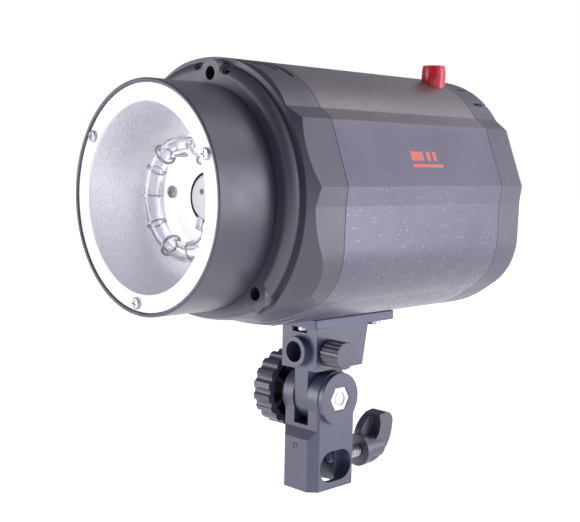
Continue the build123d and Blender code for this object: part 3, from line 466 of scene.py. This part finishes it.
def build_materials():
    """Every material by name."""
    body = (0.034, 0.031, 0.054)
    bracket = (0.038, 0.041, 0.086)
    return {
        "housing_plastic": plastic("housing_plastic", body, 0.42, 1900, 0.00005, spec=0.95),
        # painted light: the rear cover takes the housing plastic made 1.4 times lighter, standing for
        # light bounced up from the floor
        "rear_plastic_bounce_lit": plastic("rear_plastic_bounce_lit", shade(body, 1.4), 0.42, 1900, 0.00005, spec=0.95),
        "shell_paint": shell_paint(),
        "panel_paint": plastic("panel_paint", (0.05, 0.05, 0.06), 0.5, 1500, 0.00005),
        "hood_paint": hood_paint(),
        "white_enamel": enamel("white_enamel", 0.06),
        "base_enamel": enamel("base_enamel", 0.6),
        "reflector_metal": dish_metal(),
        "screw_steel": metal("screw_steel", (0.50, 0.48, 0.50), 0.28, 700),
        "screw_black": metal("screw_black", (0.05, 0.05, 0.055), 0.35, 700),
        "bolt_zinc": metal("bolt_zinc", (0.66, 0.64, 0.66), 0.3, 500),
        "bolt_thread": threaded("bolt_thread", (0.80, 0.79, 0.82), "Y", 0.001),
        # painted light: the mount plate takes the bracket's tone made 1.7 times lighter, standing for
        # light bounced up from the floor
        "plate_metal": plastic("plate_metal", shade(bracket, 1.7), 0.40, 1500, 0.00003, spec=0.9),
        "tube_glass": glass("tube_glass", (0.97, 0.98, 1.0)),
        "electrode_metal": metal("electrode_metal", (0.55, 0.54, 0.56), 0.3, 800),
        "wire_metal": metal("wire_metal", (0.42, 0.41, 0.44), 0.3, 900),
        "holder_ceramic": plastic("holder_ceramic", (0.72, 0.70, 0.72), 0.55, 1400, 0.00004, 0.06),
        "contact_brass": metal("contact_brass", (0.62, 0.45, 0.20), 0.3, 700),
        "capacitor_sleeve": plastic("capacitor_sleeve", (0.03, 0.05, 0.18), 0.3, 900, 0.00001),
        "board_laminate": board_laminate(),
        "inner_plastic": plastic("inner_plastic", (0.018, 0.018, 0.02), 0.6, 1500, 0.00003, spec=0.3),
        "component_plastic": plastic("component_plastic", (0.06, 0.06, 0.065), 0.45, 1500, 0.00003),
        "lead_insulation": plastic("lead_insulation", (0.5, 0.05, 0.04), 0.45, 1200, 0.00001),
        "sensor_red": red_cover(),
        "knob_plastic": plastic("knob_plastic", (0.034, 0.035, 0.060), 0.34, 1800, 0.00003, spec=0.95),
        "button_plastic": plastic("button_plastic", (0.55, 0.06, 0.05), 0.35, 1500, 0.00002),
        "rocker_plastic": plastic("rocker_plastic", (0.035, 0.035, 0.04), 0.28, 1500, 0.00001),
        "led_green": glass("led_green", (0.18, 0.8, 0.25), 0.08, 0.8),
        "bracket_plastic": plastic("bracket_plastic", bracket, 0.34, 1500, 0.00004, spec=1.0),
    }


DRESS = {
    "housing_plastic": ["front_housing"],
    "rear_plastic_bounce_lit": ["rear_cover"],
    "shell_paint": ["main_shell"],
    "panel_paint": ["rear_panel"],
    "hood_paint": ["hood_tube"],
    "white_enamel": ["reflector_ring"],
    "base_enamel": ["lamp_base"],
    "reflector_metal": ["reflector_dish"],
    "screw_steel": ["ring_screws", "base_screws", "plate_screws", "board_standoffs"],
    "screw_black": ["front_screws", "rear_screws", "panel_screws"],
    "bolt_zinc": ["tilt_bolt", "tilt_washer", "knob_insert", "friction_washers", "umbrella_lock_screw"],
    "bolt_thread": ["stand_lock_screw"],
    "plate_metal": ["mount_plate"],
    "tube_glass": ["flash_tube", "fuse"],
    "electrode_metal": ["tube_electrodes"],
    "wire_metal": ["trigger_wire", "tube_clips", "holder_clips", "capacitor_strap", "inlet_pins"],
    "holder_ceramic": ["lampholder"],
    "contact_brass": ["holder_contacts", "sync_jack"],
    "capacitor_sleeve": ["main_capacitor"],
    "board_laminate": ["main_board"],
    "inner_plastic": ["bulkhead", "dial_shaft"],
    "component_plastic": [
        "board_parts",
        "trigger_coil",
        "sensor_diode",
        "mains_inlet",
        "fuse_holder",
        "test_bezel",
    ],
    "lead_insulation": ["tube_leads"],
    "sensor_red": ["sensor_window"],
    "knob_plastic": ["tilt_knob", "umbrella_lock_knob", "wing_knob", "power_dial", "fuse_cap"],
    "button_plastic": ["test_button"],
    "rocker_plastic": ["model_rocker", "power_rocker", "model_switch_frame", "power_switch_frame"],
    "led_green": ["ready_led"],
    "bracket_plastic": ["stand_bracket", "upper_bracket"],
}


def dress_nodes(materials):
    """Puts each material on every slot of its nodes."""
    for name, members in DRESS.items():
        for node in members:
            slots = NODES[node].data.materials
            for index in range(len(slots)):
                slots[index] = materials[name]
            if not len(slots):
                slots.append(materials[name])


# ---------------------------------------------------------------- pieces made here


def side_surface(up, proud=0.06):
    """The point on the right side panel at a height over the hood axis, as x and height, set out from the
    panel by proud mm.
    """
    foot, head = Vector(RIGHT_PANEL_FOOT), Vector(RIGHT_PANEL_HEAD)
    along = (up - foot.y) / (head.y - foot.y)
    place = foot.lerp(head, along)
    out = Vector((head.y - foot.y, foot.x - head.x)).normalized()
    return place + out * proud


def thin_piece(name, work, thickness, material):
    """Makes the faces drawn in a bmesh a thin solid piece, in mm of thickness, that rides on the head."""
    mesh = bpy.data.meshes.new(name)
    work.to_mesh(mesh)
    work.free()
    mesh.materials.append(material)
    piece = bpy.data.objects.new(name, mesh)
    bpy.context.scene.collection.objects.link(piece)
    solid = piece.modifiers.new("thickness", "SOLIDIFY")
    solid.thickness = thickness * MM
    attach(piece, "head")


def side_mark(material):
    """A plain printed mark with no meaning: one long bar, one wide block and two narrow ones."""
    work = bmesh.new()
    for front, rear, low, high in MARK_BARS:
        corners = []
        for up, y in ((low, front), (low, rear), (high, rear), (high, front)):
            spot = side_surface(up)
            corners.append(work.verts.new((spot.x * MM, y * MM, (HOOD_Z + spot.y) * MM)))
        work.faces.new(corners)
    thin_piece("side_mark", work, 0.05, material)


def holder_gap_shade(material):
    """A thin dark ring of painted shade over the clearance between the lamp holder and the white disc,
    where the recess lies in shadow; it is no real gasket.
    """
    work = bmesh.new()
    face_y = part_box("lamp_base")[0].y - 0.15 * MM
    rings = []
    for radius in GAP_SHADE_RADII:
        ring = []
        for n in range(GAP_SHADE_SIDES):
            turn = math.tau * n / GAP_SHADE_SIDES
            x = radius * math.cos(turn) * MM
            z = (HOOD_Z + radius * math.sin(turn)) * MM
            ring.append(work.verts.new((x, face_y, z)))
        rings.append(ring)
    for n in range(GAP_SHADE_SIDES):
        after = (n + 1) % GAP_SHADE_SIDES
        work.faces.new((rings[0][n], rings[0][after], rings[1][after], rings[1][n]))
    thin_piece("holder_gap_shade", work, 0.1, material)


def dial_ticks(material):
    """Ticks round the power dial, every second one a little longer."""
    work = bmesh.new()
    middle = Vector((0, DIAL_CENTRE_Z))
    for n in range(TICKS):
        turn = math.radians(-DIAL_SWEEP + 2 * DIAL_SWEEP * n / (TICKS - 1))
        inner = 13.2
        outer = 15.0 if n % 2 else 15.8
        side = Vector((math.cos(turn), -math.sin(turn))) * 0.2
        along = Vector((math.sin(turn), math.cos(turn)))
        corners = (along * inner - side, along * inner + side, along * outer + side, along * outer - side)
        spots = [(middle + corner) * MM for corner in corners]
        work.faces.new([work.verts.new((spot.x, PANEL_PRINT * MM, spot.y)) for spot in spots])
    thin_piece("dial_ticks", work, 0.04, material)


def dial_number(index, material):
    """One number beside the power dial. They rise in the way the dial turns, seen from behind."""
    turn = math.radians(DIAL_SWEEP - 2 * DIAL_SWEEP * index / (NUMBERS - 1))
    data = bpy.data.curves.new(f"dial_number_{index + 1}", "FONT")
    data.body = str(index + 1)
    data.size = NUMBER_SIZE * MM
    data.extrude = 0.02 * MM
    data.align_x = "CENTER"
    data.align_y = "CENTER"
    data.materials.append(material)
    number = bpy.data.objects.new(data.name, data)
    x = NUMBER_REACH * math.sin(turn)
    z = DIAL_CENTRE_Z + NUMBER_REACH * math.cos(turn)
    number.location = (x * MM, PANEL_PRINT * MM, z * MM)
    number.rotation_euler = (math.radians(90), 0, math.radians(180))
    bpy.context.scene.collection.objects.link(number)
    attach(number, "head")


def dial_scale(material):
    """Ticks and the numbers 1 to 6 round the power dial."""
    dial_ticks(material)
    for index in range(NUMBERS):
        dial_number(index, material)


# ---------------------------------------------------------------- put it together

bpy.context.scene.view_settings.view_transform = "Standard"
add_camera()
add_world()
add_floor()
for name, settings in LIGHTS.items():
    add_area(name, **settings)
MATERIALS = build_materials()
dress_nodes(MATERIALS)
side_mark(ink("mark_ink", (0.62, 0.16, 0.12), 0.1))
# painted shade: a dark ring where the lamp holder's clearance lies in shadow
holder_gap_shade(MATERIALS["inner_plastic"])
dial_scale(ink("panel_ink", (0.75, 0.75, 0.78), 0.06))
